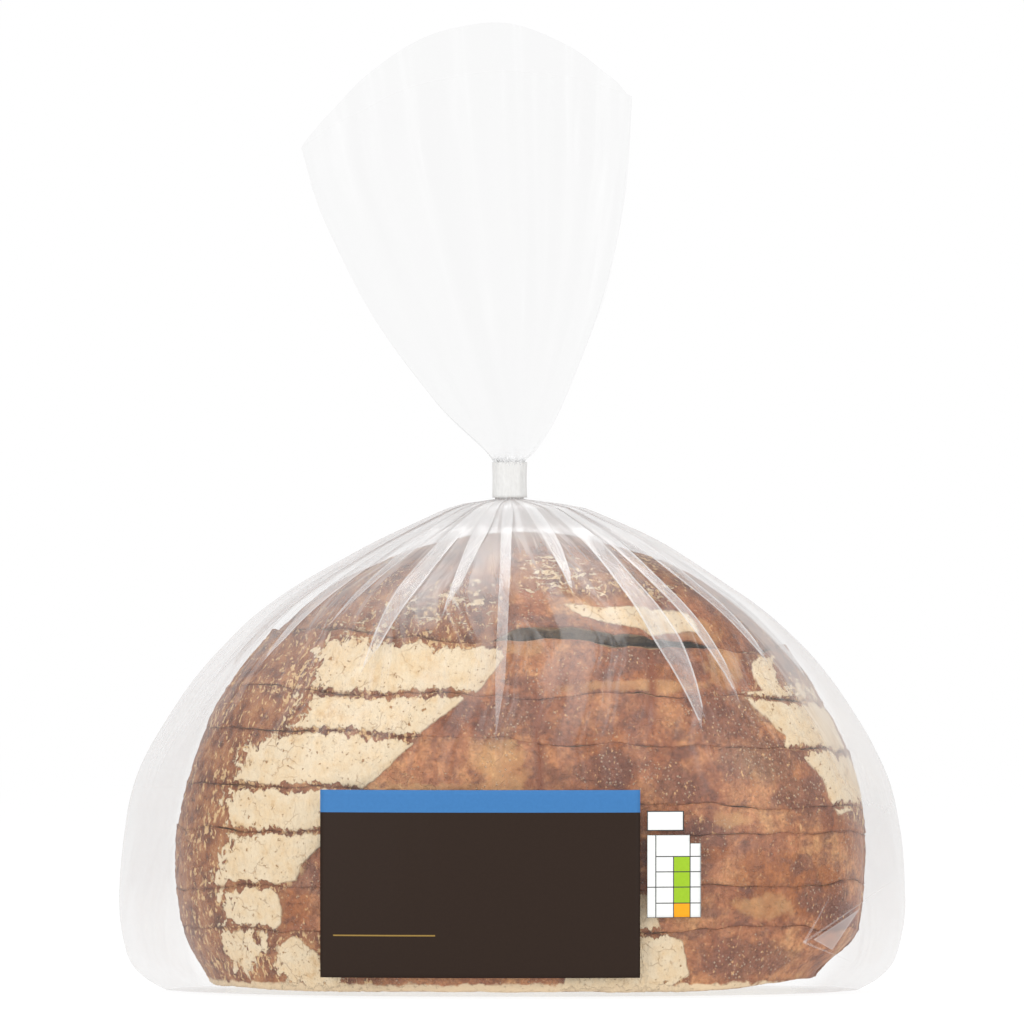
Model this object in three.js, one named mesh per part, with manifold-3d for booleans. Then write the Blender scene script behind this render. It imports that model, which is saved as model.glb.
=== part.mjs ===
// A sliced sourdough half loaf in a clear bag, standing on its cut face.
// Units are millimetres: X is the width, -Y the side of the crown, +Z up towards the tied neck.
// The loaf is a round one, baked on its flat base (+Y), with a third of it cut away.
// What is left is sliced level, so the slices lie on one another inside the bag.

import * as THREE from "three";
import { mergeVertices } from "three/addons/utils/BufferGeometryUtils.js";
import Module from "manifold-3d";

const wasm = await Module();
wasm.setup();

// The loaf: a flattened dome on its baked base, widest at LOAF_CENTRE.y.
const LOAF_HALF_WIDTH = 98.4;
const LOAF_HALF_HEIGHT = 93.7;
const LOAF_CROWN_DEPTH = 58;
const LOAF_BASE_DEPTH = 36;
const LOAF_CROWN_EXPONENT = 2.2;
const LOAF_BASE_EXPONENT = 5;
const LOAF_CENTRE = new THREE.Vector3(2.6, 11.6, 37);
const LOAF_SEGMENTS = 56;
const LOAF_PROFILE_STEPS = 18;

// The cuts, from the top down: height in the middle, and fall from left to right in degrees.
const CUT_FACE_HEIGHT = 1.7;
const KNIFE_GAP = 0.5;
const CUTS = [
  { height: 99.6, fall: 2 },
  { height: 84.7, fall: 1.1 },
  { height: 72, fall: 2.4 },
  { height: 56.3, fall: 2.2 },
  { height: 45.9, fall: 0.6 },
  { height: 31, fall: -0.1 },
  { height: 18.5, fall: 0 },
];

// The heel leans back on the slice below it, so their gap opens towards the crown.
const HEEL_LEAN = 3.2;
const HEEL_HINGE_Y = 38;

// The bag: clear film, drawn thicker than it is so that it makes a solid.
const FILM_THICKNESS = 0.8;
const FILM_SLACK = 2;
const FILM_FOLD_INSET = 2;
const FILM_SEGMENTS = 44;
const BAG_HALF_WIDTH = [
  [0, 98],
  [4, 104.8],
  [11, 109.7],
  [28, 112],
  [58, 108.2],
  [83, 95],
  [100, 81],
  [113, 65.5],
  [125.7, 43.4],
  [134, 25.7],
  [138.5, 14.5],
  [140.2, 3.9],
];
const BAG_LEVELS = [
  1.2, 4, 8, 14, 22, 32, 44, 56, 68, 78, 88, 97, 105, 111, 117, 122, 126, 130, 133, 136, 138, 139.4,
];
const TENT_FOOT = 116;
const SHIFT_FOOT = 131;

// The neck, where the film is gathered and taped.
const NECK_BOTTOM = 140.2;
const NECK_TOP = 152.2;
const NECK_HALF_WIDTH = 3.9;
const NECK_HALF_DEPTH = 3.1;
const NECK_X = -0.7;
const NECK_Y = 4;
const TAPE_GAP = 0.3;
const TAPE_THICKNESS = 0.8;
const TAPE_SEGMENTS = 36;

// The mouth above the neck: a flattened fan whose rim arches higher at the back.
const MOUTH_LEFT_EDGE = [
  [-4.6, 152.2],
  [-10, 154.4],
  [-22, 168],
  [-40.6, 194],
  [-54, 221.5],
  [-59.9, 240.3],
];
const MOUTH_RIGHT_EDGE = [
  [3.2, 152.2],
  [7, 154.4],
  [15.3, 169.5],
  [26.5, 198.5],
  [32, 226],
  [33.9, 254.8],
];
const MOUTH_BACK_ARCH = 28;
const MOUTH_FRONT_ARCH = 13;
const MOUTH_HALF_DEPTH = 9;
const MOUTH_LEVELS = [0.06, 0.13, 0.22, 0.34, 0.48, 0.64, 0.82, 1];

// The labels, as thin plates on the crown side of the film.
const LABEL_THICKNESS = 0.5;
const LABEL_GAP = 0.6;
const FRONT_LABEL = { left: -53.9, right: 36, bottom: 5.6, top: 58.4 };
const SIDE_LABEL = { left: 37.9, right: 53.1, bottom: 22.5, top: 45.8 };
const SIDE_LABEL_TOP = { left: 37.9, right: 48.3, bottom: 46.9, top: 52.5 };

const CRUST = { color: 0xb27c50, roughness: 0.85, metalness: 0 };
const FILM = { color: 0xf2f4f6, roughness: 0.12, metalness: 0, transparent: true, opacity: 0.3 };
const TAPE = { color: 0xf4f4f2, roughness: 0.45, metalness: 0 };
const LABEL = { color: 0x3a2b25, roughness: 0.5, metalness: 0 };
const SMALL_LABEL = { color: 0xf3f4f0, roughness: 0.5, metalness: 0 };

const group = new THREE.Group();
group.name = "bagged_sliced_half_loaf";

function addNode(name, geometry, look) {
  const mesh = new THREE.Mesh(geometry, new THREE.MeshStandardMaterial(look));
  mesh.name = name;
  group.add(mesh);
}

function toManifold(geometry) {
  const bare = geometry.clone();
  bare.deleteAttribute("normal");
  bare.deleteAttribute("uv");
  const merged = mergeVertices(bare, 1e-4);
  const mesh = new wasm.Mesh({
    numProp: 3,
    vertProperties: new Float32Array(merged.attributes.position.array),
    triVerts: new Uint32Array(merged.index.array),
  });
  mesh.merge();
  return new wasm.Manifold(mesh);
}

function fromManifold(solid) {
  const mesh = solid.getMesh();
  const geometry = new THREE.BufferGeometry();
  geometry.setAttribute("position", new THREE.BufferAttribute(mesh.vertProperties, 3));
  geometry.setIndex(new THREE.BufferAttribute(mesh.triVerts, 1));
  geometry.computeVertexNormals();
  return geometry;
}

// A smooth curve through [place, value] pairs.
function curveThrough(pairs) {
  const places = pairs.map((pair) => pair[0]);
  const values = pairs.map((pair) => pair[1]);
  const curve = new THREE.CubicInterpolant(places, values, 1, new Float64Array(1));
  return (place) => curve.evaluate(place)[0];
}

// How far the loaf reaches from its widest level at (x, z), on the crown side or the base side.
function loafDepth(x, z, crownSide, grow) {
  const across = (x - LOAF_CENTRE.x) / (LOAF_HALF_WIDTH + grow);
  const up = (z - LOAF_CENTRE.z) / (LOAF_HALF_HEIGHT + grow);
  const radius = Math.min(1, Math.hypot(across, up));
  const exponent = crownSide ? LOAF_CROWN_EXPONENT : LOAF_BASE_EXPONENT;
  const depth = (crownSide ? LOAF_CROWN_DEPTH : LOAF_BASE_DEPTH) + grow;
  return depth * Math.pow(1 - Math.pow(radius, exponent), 1 / exponent);
}

// The whole loaf, turned about its own upright baking axis, which lies along Y here.
function loafSolid() {
  const profile = [];
  for (let step = 0; step <= LOAF_PROFILE_STEPS; step += 1) {
    const turn = (Math.PI * step) / LOAF_PROFILE_STEPS;
    const radius = Math.sin(turn);
    const crownSide = turn > Math.PI / 2;
    const exponent = crownSide ? LOAF_CROWN_EXPONENT : LOAF_BASE_EXPONENT;
    const depth = crownSide ? LOAF_CROWN_DEPTH : LOAF_BASE_DEPTH;
    const reach = Math.pow(Math.max(0, 1 - Math.pow(radius, exponent)), 1 / exponent);
    const onAxis = step === 0 || step === LOAF_PROFILE_STEPS;
    profile.push(new THREE.Vector2(onAxis ? 0 : radius, (crownSide ? -1 : 1) * depth * reach));
  }
  const geometry = new THREE.LatheGeometry(profile.reverse(), LOAF_SEGMENTS);
  geometry.scale(LOAF_HALF_WIDTH, 1, LOAF_HALF_HEIGHT);
  geometry.translate(LOAF_CENTRE.x, LOAF_CENTRE.y, LOAF_CENTRE.z);
  return toManifold(geometry);
}

// A block that fills everything above or below a cut.
function halfSpace(height, fall, lean, above) {
  const size = 400;
  const block = new THREE.BoxGeometry(size, size, size);
  block.translate(0, -HEEL_HINGE_Y, (above ? 1 : -1) * (size / 2));
  block.rotateX(THREE.MathUtils.degToRad(lean));
  block.rotateY(THREE.MathUtils.degToRad(fall));
  block.translate(0, HEEL_HINGE_Y, height);
  return toManifold(block);
}

const loaf = loafSolid();
const firstCut = CUTS[0];
const heel = loaf.subtract(
  halfSpace(firstCut.height + KNIFE_GAP / 2, firstCut.fall, -HEEL_LEAN, false),
);
addNode("heel", fromManifold(heel), CRUST);
CUTS.forEach((cut, index) => {
  const below = CUTS[index + 1] ?? { height: CUT_FACE_HEIGHT - KNIFE_GAP / 2, fall: 0 };
  const slice = loaf
    .subtract(halfSpace(cut.height - KNIFE_GAP / 2, cut.fall, 0, true))
    .subtract(halfSpace(below.height + KNIFE_GAP / 2, below.fall, 0, false));
  addNode(`slice_${index + 1}`, fromManifold(slice), CRUST);
});

const bagHalfWidth = curveThrough(BAG_HALF_WIDTH);

// One level of the film, from the base to the neck.
function bodyLevel(z) {
  const rise = Math.max(0, (NECK_BOTTOM - z) / (NECK_BOTTOM - TENT_FOOT));
  const gather = THREE.MathUtils.smoothstep(z, TENT_FOOT, NECK_BOTTOM);
  const shift = THREE.MathUtils.smoothstep(z, SHIFT_FOOT, NECK_BOTTOM);
  const tented = z > TENT_FOOT;
  const middle = LOAF_CENTRE.x;
  const wrapFront = loafDepth(middle, z, true, FILM_SLACK);
  const wrapBack = loafDepth(middle, z, false, FILM_SLACK);
  return {
    z,
    x: THREE.MathUtils.lerp(0, NECK_X, gather),
    y: THREE.MathUtils.lerp(LOAF_CENTRE.y, NECK_Y, shift),
    halfWidth: bagHalfWidth(z),
    front: tented ? NECK_HALF_DEPTH + 33.4 * Math.pow(rise, 0.8) : wrapFront,
    back: tented ? NECK_HALF_DEPTH + 33.4 * Math.pow(rise, 0.55) : wrapBack,
    frontShape: [THREE.MathUtils.lerp(2.6, 2, gather), THREE.MathUtils.lerp(0.75, 0.5, gather)],
    backShape: [THREE.MathUtils.lerp(6, 2, gather), THREE.MathUtils.lerp(0.6, 0.5, gather)],
  };
}

// How far the film stands from its side folds at x, with its outer or inner face.
function filmDepth(level, x, crownSide, inset) {
  const halfWidth = level.halfWidth - level.foldInset * inset;
  const depth = (crownSide ? level.front : level.back) - inset;
  const [p, q] = crownSide ? level.frontShape : level.backShape;
  const across = Math.min(1, Math.abs((x - level.x) / halfWidth));
  const lens = depth * Math.pow(1 - Math.pow(across, p), q);
  const wrapped = level.wraps ? loafDepth(x, level.z, crownSide, FILM_SLACK - inset) : 0;
  return Math.max(lens, wrapped);
}

const mouthLeft = new THREE.CatmullRomCurve3(
  MOUTH_LEFT_EDGE.map(([x, z]) => new THREE.Vector3(x, 0, z)),
);
const mouthRight = new THREE.CatmullRomCurve3(
  MOUTH_RIGHT_EDGE.map(([x, z]) => new THREE.Vector3(x, 0, z)),
);

// A point of the mouth: part is 0 at the neck and 1 at the rim, across runs from -1 to 1.
function mouthPoint(part, across, crownSide, inset) {
  const left = mouthLeft.getPoint(part);
  const right = mouthRight.getPoint(part);
  const halfWidth = (right.x - left.x) / 2;
  const squeezed = across * (1 - inset / halfWidth);
  const side = (1 + squeezed) / 2;
  const arch = crownSide ? MOUTH_FRONT_ARCH : MOUTH_BACK_ARCH;
  const bow = arch * Math.pow(part, 1.5) * (1 - squeezed * squeezed);
  const halfDepth = THREE.MathUtils.lerp(NECK_HALF_DEPTH, MOUTH_HALF_DEPTH, part) - inset;
  return new THREE.Vector3(
    THREE.MathUtils.lerp(left.x, right.x, side),
    NECK_Y + (crownSide ? -1 : 1) * halfDepth * Math.sqrt(Math.max(0, 1 - across * across)),
    THREE.MathUtils.lerp(left.z, right.z, side) + bow,
  );
}

// The levels of one face of the film, from the middle of the base to the rim.
const levels = [{ kind: "middle" }, { kind: "base" }];
BAG_LEVELS.forEach((z) => levels.push({ kind: "body", z }));
levels.push({ kind: "neck", z: NECK_BOTTOM }, { kind: "neck", z: NECK_TOP });
MOUTH_LEVELS.forEach((part) => levels.push({ kind: "mouth", part }));

function filmPoint(level, turn, inset) {
  const across = Math.cos(turn);
  const crownSide = Math.sin(turn) < 0;
  const sign = crownSide ? -1 : 1;
  if (level.kind === "middle") {
    return new THREE.Vector3(0, LOAF_CENTRE.y, inset);
  }
  if (level.kind === "neck") {
    return new THREE.Vector3(
      NECK_X + (NECK_HALF_WIDTH - inset) * across,
      NECK_Y + (NECK_HALF_DEPTH - inset) * Math.sin(turn),
      level.z,
    );
  }
  if (level.kind === "mouth") {
    return mouthPoint(level.part, across, crownSide, inset);
  }
  const z = level.kind === "base" ? BAG_LEVELS[0] : level.z;
  const body = { ...bodyLevel(z), foldInset: FILM_FOLD_INSET, wraps: true };
  const shrink = level.kind === "base" ? 0.985 : 1;
  const x = body.x + (body.halfWidth - FILM_FOLD_INSET * inset) * across;
  const onFold = Math.abs(Math.sin(turn)) < 1e-9;
  const depth = onFold ? 0 : filmDepth(body, x, crownSide, inset);
  return new THREE.Vector3(
    x * shrink,
    body.y + sign * depth * shrink,
    level.kind === "base" ? inset : Math.max(z, inset + 0.4),
  );
}

// The film is one closed shell: up its outer face, over the rim and down its inner face.
function filmGeometry() {
  const rings = [];
  levels.forEach((level) => rings.push({ level, inset: 0 }));
  [...levels].reverse().forEach((level) => rings.push({ level, inset: FILM_THICKNESS }));
  const profile = rings.map(({ level }, index) => {
    return new THREE.Vector2(level.kind === "middle" ? 0 : 1, index);
  });
  const geometry = new THREE.LatheGeometry(profile, FILM_SEGMENTS);
  const position = geometry.attributes.position;
  for (let segment = 0; segment <= FILM_SEGMENTS; segment += 1) {
    const turn = (2 * Math.PI * (segment % FILM_SEGMENTS)) / FILM_SEGMENTS;
    rings.forEach(({ level, inset }, ring) => {
      const point = filmPoint(level, turn, inset);
      position.setXYZ(segment * rings.length + ring, point.x, point.y, point.z);
    });
  }
  return fromManifold(toManifold(geometry));
}

addNode("bag_film", filmGeometry(), FILM);

// The tape, wrapped once around the gathered neck.
const tapeInner = TAPE_GAP;
const tapeOuter = TAPE_GAP + TAPE_THICKNESS;
const tapeProfile = [
  new THREE.Vector2(tapeInner, NECK_BOTTOM + 0.4),
  new THREE.Vector2(tapeOuter, NECK_BOTTOM + 0.4),
  new THREE.Vector2(tapeOuter, NECK_TOP - 0.2),
  new THREE.Vector2(tapeInner, NECK_TOP - 0.2),
  new THREE.Vector2(tapeInner, NECK_BOTTOM + 0.4),
];
const tape = new THREE.LatheGeometry(
  tapeProfile.map((point) => new THREE.Vector2(point.x + NECK_HALF_WIDTH, point.y)),
  TAPE_SEGMENTS,
);
tape.rotateX(Math.PI / 2);
tape.scale(1, (NECK_HALF_DEPTH + tapeInner) / (NECK_HALF_WIDTH + tapeInner), 1);
tape.translate(NECK_X, NECK_Y, 0);
addNode("neck_tape", fromManifold(toManifold(tape)), TAPE);

// A label lies against the film, so it bends with the crown behind it.
function labelGeometry({ left, right, bottom, top }, across, up) {
  const plate = new THREE.BoxGeometry(right - left, LABEL_THICKNESS, top - bottom, across, 1, up);
  plate.translate((left + right) / 2, -LABEL_THICKNESS / 2 - LABEL_GAP, (bottom + top) / 2);
  const position = plate.attributes.position;
  for (let index = 0; index < position.count; index += 1) {
    const x = position.getX(index);
    const level = { ...bodyLevel(position.getZ(index)), foldInset: 0, wraps: true };
    position.setY(index, position.getY(index) + level.y - filmDepth(level, x, true, 0));
  }
  return fromManifold(toManifold(plate));
}

addNode("front_label", labelGeometry(FRONT_LABEL, 12, 8), LABEL);
addNode("side_label", labelGeometry(SIDE_LABEL, 3, 4), SMALL_LABEL);
addNode("side_label_top", labelGeometry(SIDE_LABEL_TOP, 2, 1), SMALL_LABEL);

export default group;
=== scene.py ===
import math

import bmesh
import bpy
import numpy as np
from mathutils import Matrix, Vector, noise
from mathutils.bvhtree import BVHTree


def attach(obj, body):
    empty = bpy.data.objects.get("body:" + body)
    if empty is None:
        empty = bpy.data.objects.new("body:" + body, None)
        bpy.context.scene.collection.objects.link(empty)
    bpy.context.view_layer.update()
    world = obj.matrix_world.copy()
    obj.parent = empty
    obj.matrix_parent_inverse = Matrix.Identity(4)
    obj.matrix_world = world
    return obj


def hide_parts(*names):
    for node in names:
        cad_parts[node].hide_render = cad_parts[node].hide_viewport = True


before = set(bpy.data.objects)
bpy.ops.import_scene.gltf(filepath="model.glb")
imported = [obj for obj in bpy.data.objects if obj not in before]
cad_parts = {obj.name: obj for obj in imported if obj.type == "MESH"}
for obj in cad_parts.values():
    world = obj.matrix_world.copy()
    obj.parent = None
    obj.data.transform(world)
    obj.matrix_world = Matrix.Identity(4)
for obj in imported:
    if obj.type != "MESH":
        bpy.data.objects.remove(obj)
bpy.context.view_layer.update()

MM = 0.001  # the shapes below are worked out in millimetres and made in metres

# --------------------
# The bread: a round sourdough loaf, floured and slashed before baking, so that the dough opened
# along the slashes into smooth brown crust between floured flanks. A third of the loaf is cut
# away, and the rest is sliced level with that cut into a heel and seven slices.

LOAF_CENTRE = Vector((2.6, 11.6, 37.0))
LOAF_HALF_WIDTH, LOAF_HALF_HEIGHT = 98.4, 93.7
CROWN_DEPTH, CROWN_POWER = 58.0, 2.2
BASE_DEPTH, BASE_POWER = 36.0, 5.0
BREAD_VOXEL = 0.8
CRUST_INSET = 0.5  # the crust's bumps stand on a surface this far inside the loaf's outline
CRUST_SEED = 3.7

KNIFE_GAP = 0.12
CUT_FACE = 1.7  # height of the level cut that the loaf stands on
HEEL_LEAN, HEEL_HINGE = 3.2, 38.0  # the heel leans back, in degrees, about this depth
SLIP = 0.9  # how far a slice may stand to one side of the next
PORE_DEPTH = 1.9
GROOVE_DEPTH = 0.9
BEHIND = (4, 16)  # depths over which the crown's markings end
CUTS = [  # height in the middle, and fall from left to right in degrees
    (99.6, 2.0),
    (84.7, 1.1),
    (72.0, 2.4),
    (56.3, 2.2),
    (45.9, 0.6),
    (31.0, -0.1),
    (18.5, 0.0),
]

# Outlines on the crown, seen from the front, as (x, z). Flour stays on the flanks outside the
# slashes; the opened crust between them is bare.
FLOUR_PATCHES = [
    [(-3, 98), (-2, 96), (-4, 93), (-8, 88), (-21, 78), (-26, 74), (-35, 65), (-45, 56),
     (-48, 46), (-55, 41.5), (-59, 37.5), (-61, 33), (-68, 30.5), (-66, 28.5), (-64.6, 25),
     (-64.8, 21), (-67, 18.5),
     (-77, 18.5), (-80, 26), (-84, 32.5), (-83, 36), (-79, 43), (-81, 48), (-80.5, 56),
     (-77.5, 62), (-75.5, 67.5), (-68, 72.5), (-61, 77.5), (-57.5, 84), (-53, 87.5), (-54, 96),
     (-50, 99)],
    [(-81, 17.5), (-77, 18.5), (-73.5, 15), (-74, 8), (-78, 7), (-80.5, 12)],
    [(-66, 14), (-61.5, 17.5), (-56, 12.5), (-48, 7), (-48, 3), (-63, 4), (-66, 8)],
    [(-71, 18), (-68.5, 18), (-69, 13), (-71, 13)],
    [(64, 84), (71, 79), (78, 73), (77, 69), (81, 68), (88, 61), (89, 56), (92, 50), (95, 51),
     (103, 61), (95, 78), (87, 85), (75, 87), (74, 96), (71, 97), (68, 94), (69, 90), (71, 86)],
    [(14, 111), (25, 110), (36, 110), (50, 108), (53, 104), (42, 103), (30, 105), (20, 107)],
    [(25, 30), (40, 30), (42, 19), (48, 16), (50, 6), (39, 2), (13, 0)],
]
# Places with only a thin dusting of flour, in flakes.
DUSTED = [
    [(1, 127), (12, 127), (22, 122), (30, 115), (28, 110), (14, 112), (2, 114)],
    [(34, 119), (47, 116), (49, 111), (41, 110), (35, 113)],
    [(-60, 104), (-20, 118), (-3, 120), (-6, 108), (-30, 104), (-52, 98)],
]
OPENED_CRUST = [
    (-3, 105), (2, 115), (25, 112), (53, 112), (70, 101), (69, 86), (64, 84), (78, 73),
    (88, 61), (92, 50), (112, 42), (112, -6), (50, -6), (50, 6), (48, 16), (42, 19), (40, 30),
    (25, 30), (13, -6), (-34, -6), (-40, 18), (-64, 18.5), (-64, 30.5), (-60, 33), (-58, 37.5),
    (-54, 41.5), (-47, 46), (-45, 56), (-35, 65), (-21, 78), (-8, 88), (-3, 96),
]

# Tight creases in the opened crust: x, top and bottom. Then places where the crust is thin and
# pale, baked dark with many blisters, or amber: x, z, half width and half height of each.
CREASES = [(7.2, 88, 57), (39.5, 112, 74)]
PALE_PLACES = [
    (34, 87.2, 25, 2.4), (60, 92.5, 6, 8), (53, 104, 7, 3.4), (-3, 65, 7, 9),
    (-18, 58.2, 26, 1.9), (3, 98, 7, 2.2), (88, 75, 5, 5), (72, 25, 9, 4), (62, 50, 6, 3),
]
DARK_PLACES = [
    (62, 78, 10, 8), (73, 67, 12, 7), (82, 57, 10, 6), (68, 9, 16, 7), (26, 64, 9, 5),
    (45, 61, 8, 6), (3, 82, 7, 6), (-5, 77, 7, 9), (55, 46, 9, 5), (36, 96, 14, 2.5),
    # (81, 36.4) marks a small pit in the crust: its darkness is painted shade
    (91, 24, 6, 7), (69, 95, 5, 6), (30, 107, 12, 3), (81, 36.4, 2.4, 1.9), (85, 28, 4, 5),
    (52, 46, 7, 6), (-68, 7, 9, 4), (-58, 34, 4, 6), (64, 66, 9, 6),
]
AMBER_PLACES = [
    (75, 34, 15, 7), (88, 31, 6, 6), (0, 97, 4, 6), (20, 104, 14, 4), (60, 104, 7, 4),
    (55, 41, 8, 3), (16, 119, 12, 7), (24, 72, 8, 5), (96, 48, 6, 9), (-70, 12, 12, 6),
    (-60, 25, 6, 6), (75, 26, 14, 6), (40, 90, 9, 4),
]


def smooth(low, high, value):
    """0 at low, 1 at high, smooth between."""
    part = np.clip((value - low) / (high - low), 0, 1)
    return part * part * (3 - 2 * part)


def loaf_depth(x, z, crown, grow):
    """How far the loaf reaches from its widest level, towards the crown or the base."""
    across = (x - LOAF_CENTRE.x) / (LOAF_HALF_WIDTH + grow)
    up = (z - LOAF_CENTRE.z) / (LOAF_HALF_HEIGHT + grow)
    radius = np.minimum(1, np.hypot(across, up))
    power = np.where(crown, CROWN_POWER, BASE_POWER)
    depth = np.where(crown, CROWN_DEPTH, BASE_DEPTH) + grow
    return depth * (1 - radius**power) ** (1 / power)


def inside_outline(x, z, outline):
    """Signed distance in millimetres from an outline, positive inside it."""
    nearest = np.full(len(x), 1e9)
    inside = np.zeros(len(x), bool)
    for (ax, az), (bx, bz) in zip(outline, outline[1:] + outline[:1]):
        ex, ez = bx - ax, bz - az
        along = np.clip(((x - ax) * ex + (z - az) * ez) / (ex * ex + ez * ez), 0, 1)
        nearest = np.minimum(nearest, np.hypot(x - ax - along * ex, z - az - along * ez))
        if az != bz:
            crosses = (az > z) != (bz > z)
            inside ^= crosses & (x < ax + (z - az) * ex / (bz - az))
    return np.where(inside, nearest, -nearest)


def lumps(points, size, seed):
    """Smooth noise from -1 to 1 at each point, with lumps about size millimetres apart."""
    places = points / np.asarray(size, float) + seed
    return np.array([noise.noise(Vector(p)) for p in places.tolist()])


def knife_plane(height, fall, lean=0.0):
    turn = Matrix.Rotation(math.radians(fall), 3, "Y") @ Matrix.Rotation(math.radians(lean), 3, "X")
    return Vector((0, HEEL_HINGE, height)), turn @ Vector((0, 0, 1))


def whole_loaf():
    bm = bmesh.new()
    bmesh.ops.create_icosphere(bm, subdivisions=6, radius=1)
    for v in bm.verts:
        across = math.hypot(v.co.x, v.co.z)
        crown = v.co.y < 0
        depth, power = (CROWN_DEPTH, CROWN_POWER) if crown else (BASE_DEPTH, BASE_POWER)
        reach = (across**power + abs(v.co.y) ** power) ** (-1 / power)
        halves = (LOAF_HALF_WIDTH, depth, LOAF_HALF_HEIGHT)
        v.co = LOAF_CENTRE + reach * Vector([c * (h - CRUST_INSET) for c, h in zip(v.co, halves)])
    return bm


def points_of(mesh):
    flat = np.empty(len(mesh.vertices) * 3)
    mesh.vertices.foreach_get("co", flat)
    return flat.reshape(-1, 3)


def mesh_of(bm, name):
    for face in bm.faces:
        face.smooth = True
    mesh = bpy.data.meshes.new(name)
    bm.to_mesh(mesh)
    bm.free()
    return mesh


def object_of(data, name):
    made = bpy.data.objects.new(name, data)
    bpy.context.collection.objects.link(made)
    return made


def cut_from(loaf, upper, lower):
    """A copy of the loaf between two knife planes, remeshed evenly."""
    bm = loaf.copy()
    for plane, keep_below in ((upper, True), (lower, False)):
        if plane is None:
            continue
        bmesh.ops.bisect_plane(
            bm,
            geom=bm.verts[:] + bm.edges[:] + bm.faces[:],
            dist=1e-5,
            plane_co=plane[0],
            plane_no=plane[1],
            clear_outer=keep_below,
            clear_inner=not keep_below,
        )
        bmesh.ops.edgenet_fill(bm, edges=[e for e in bm.edges if e.is_boundary])
    bmesh.ops.recalc_face_normals(bm, faces=bm.faces[:])
    bmesh.ops.transform(bm, matrix=Matrix.Scale(MM, 4), verts=bm.verts[:])
    rough = mesh_of(bm, "rough_cut")
    piece = object_of(rough, "rough_cut")
    remesh = piece.modifiers.new("even", "REMESH")
    remesh.mode = "VOXEL"
    remesh.voxel_size = BREAD_VOXEL * MM
    even = bpy.data.meshes.new_from_object(
        piece.evaluated_get(bpy.context.evaluated_depsgraph_get())
    )
    bpy.data.objects.remove(piece)
    bpy.data.meshes.remove(rough)
    return even


def note(mesh, **noted_values):
    """Keeps a value at each point of a mesh, for its material to read by name."""
    for name, values in noted_values.items():
        layer = mesh.attributes.new(name, "FLOAT", "POINT")
        layer.data.foreach_set("value", values.astype(np.float32))


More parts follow.
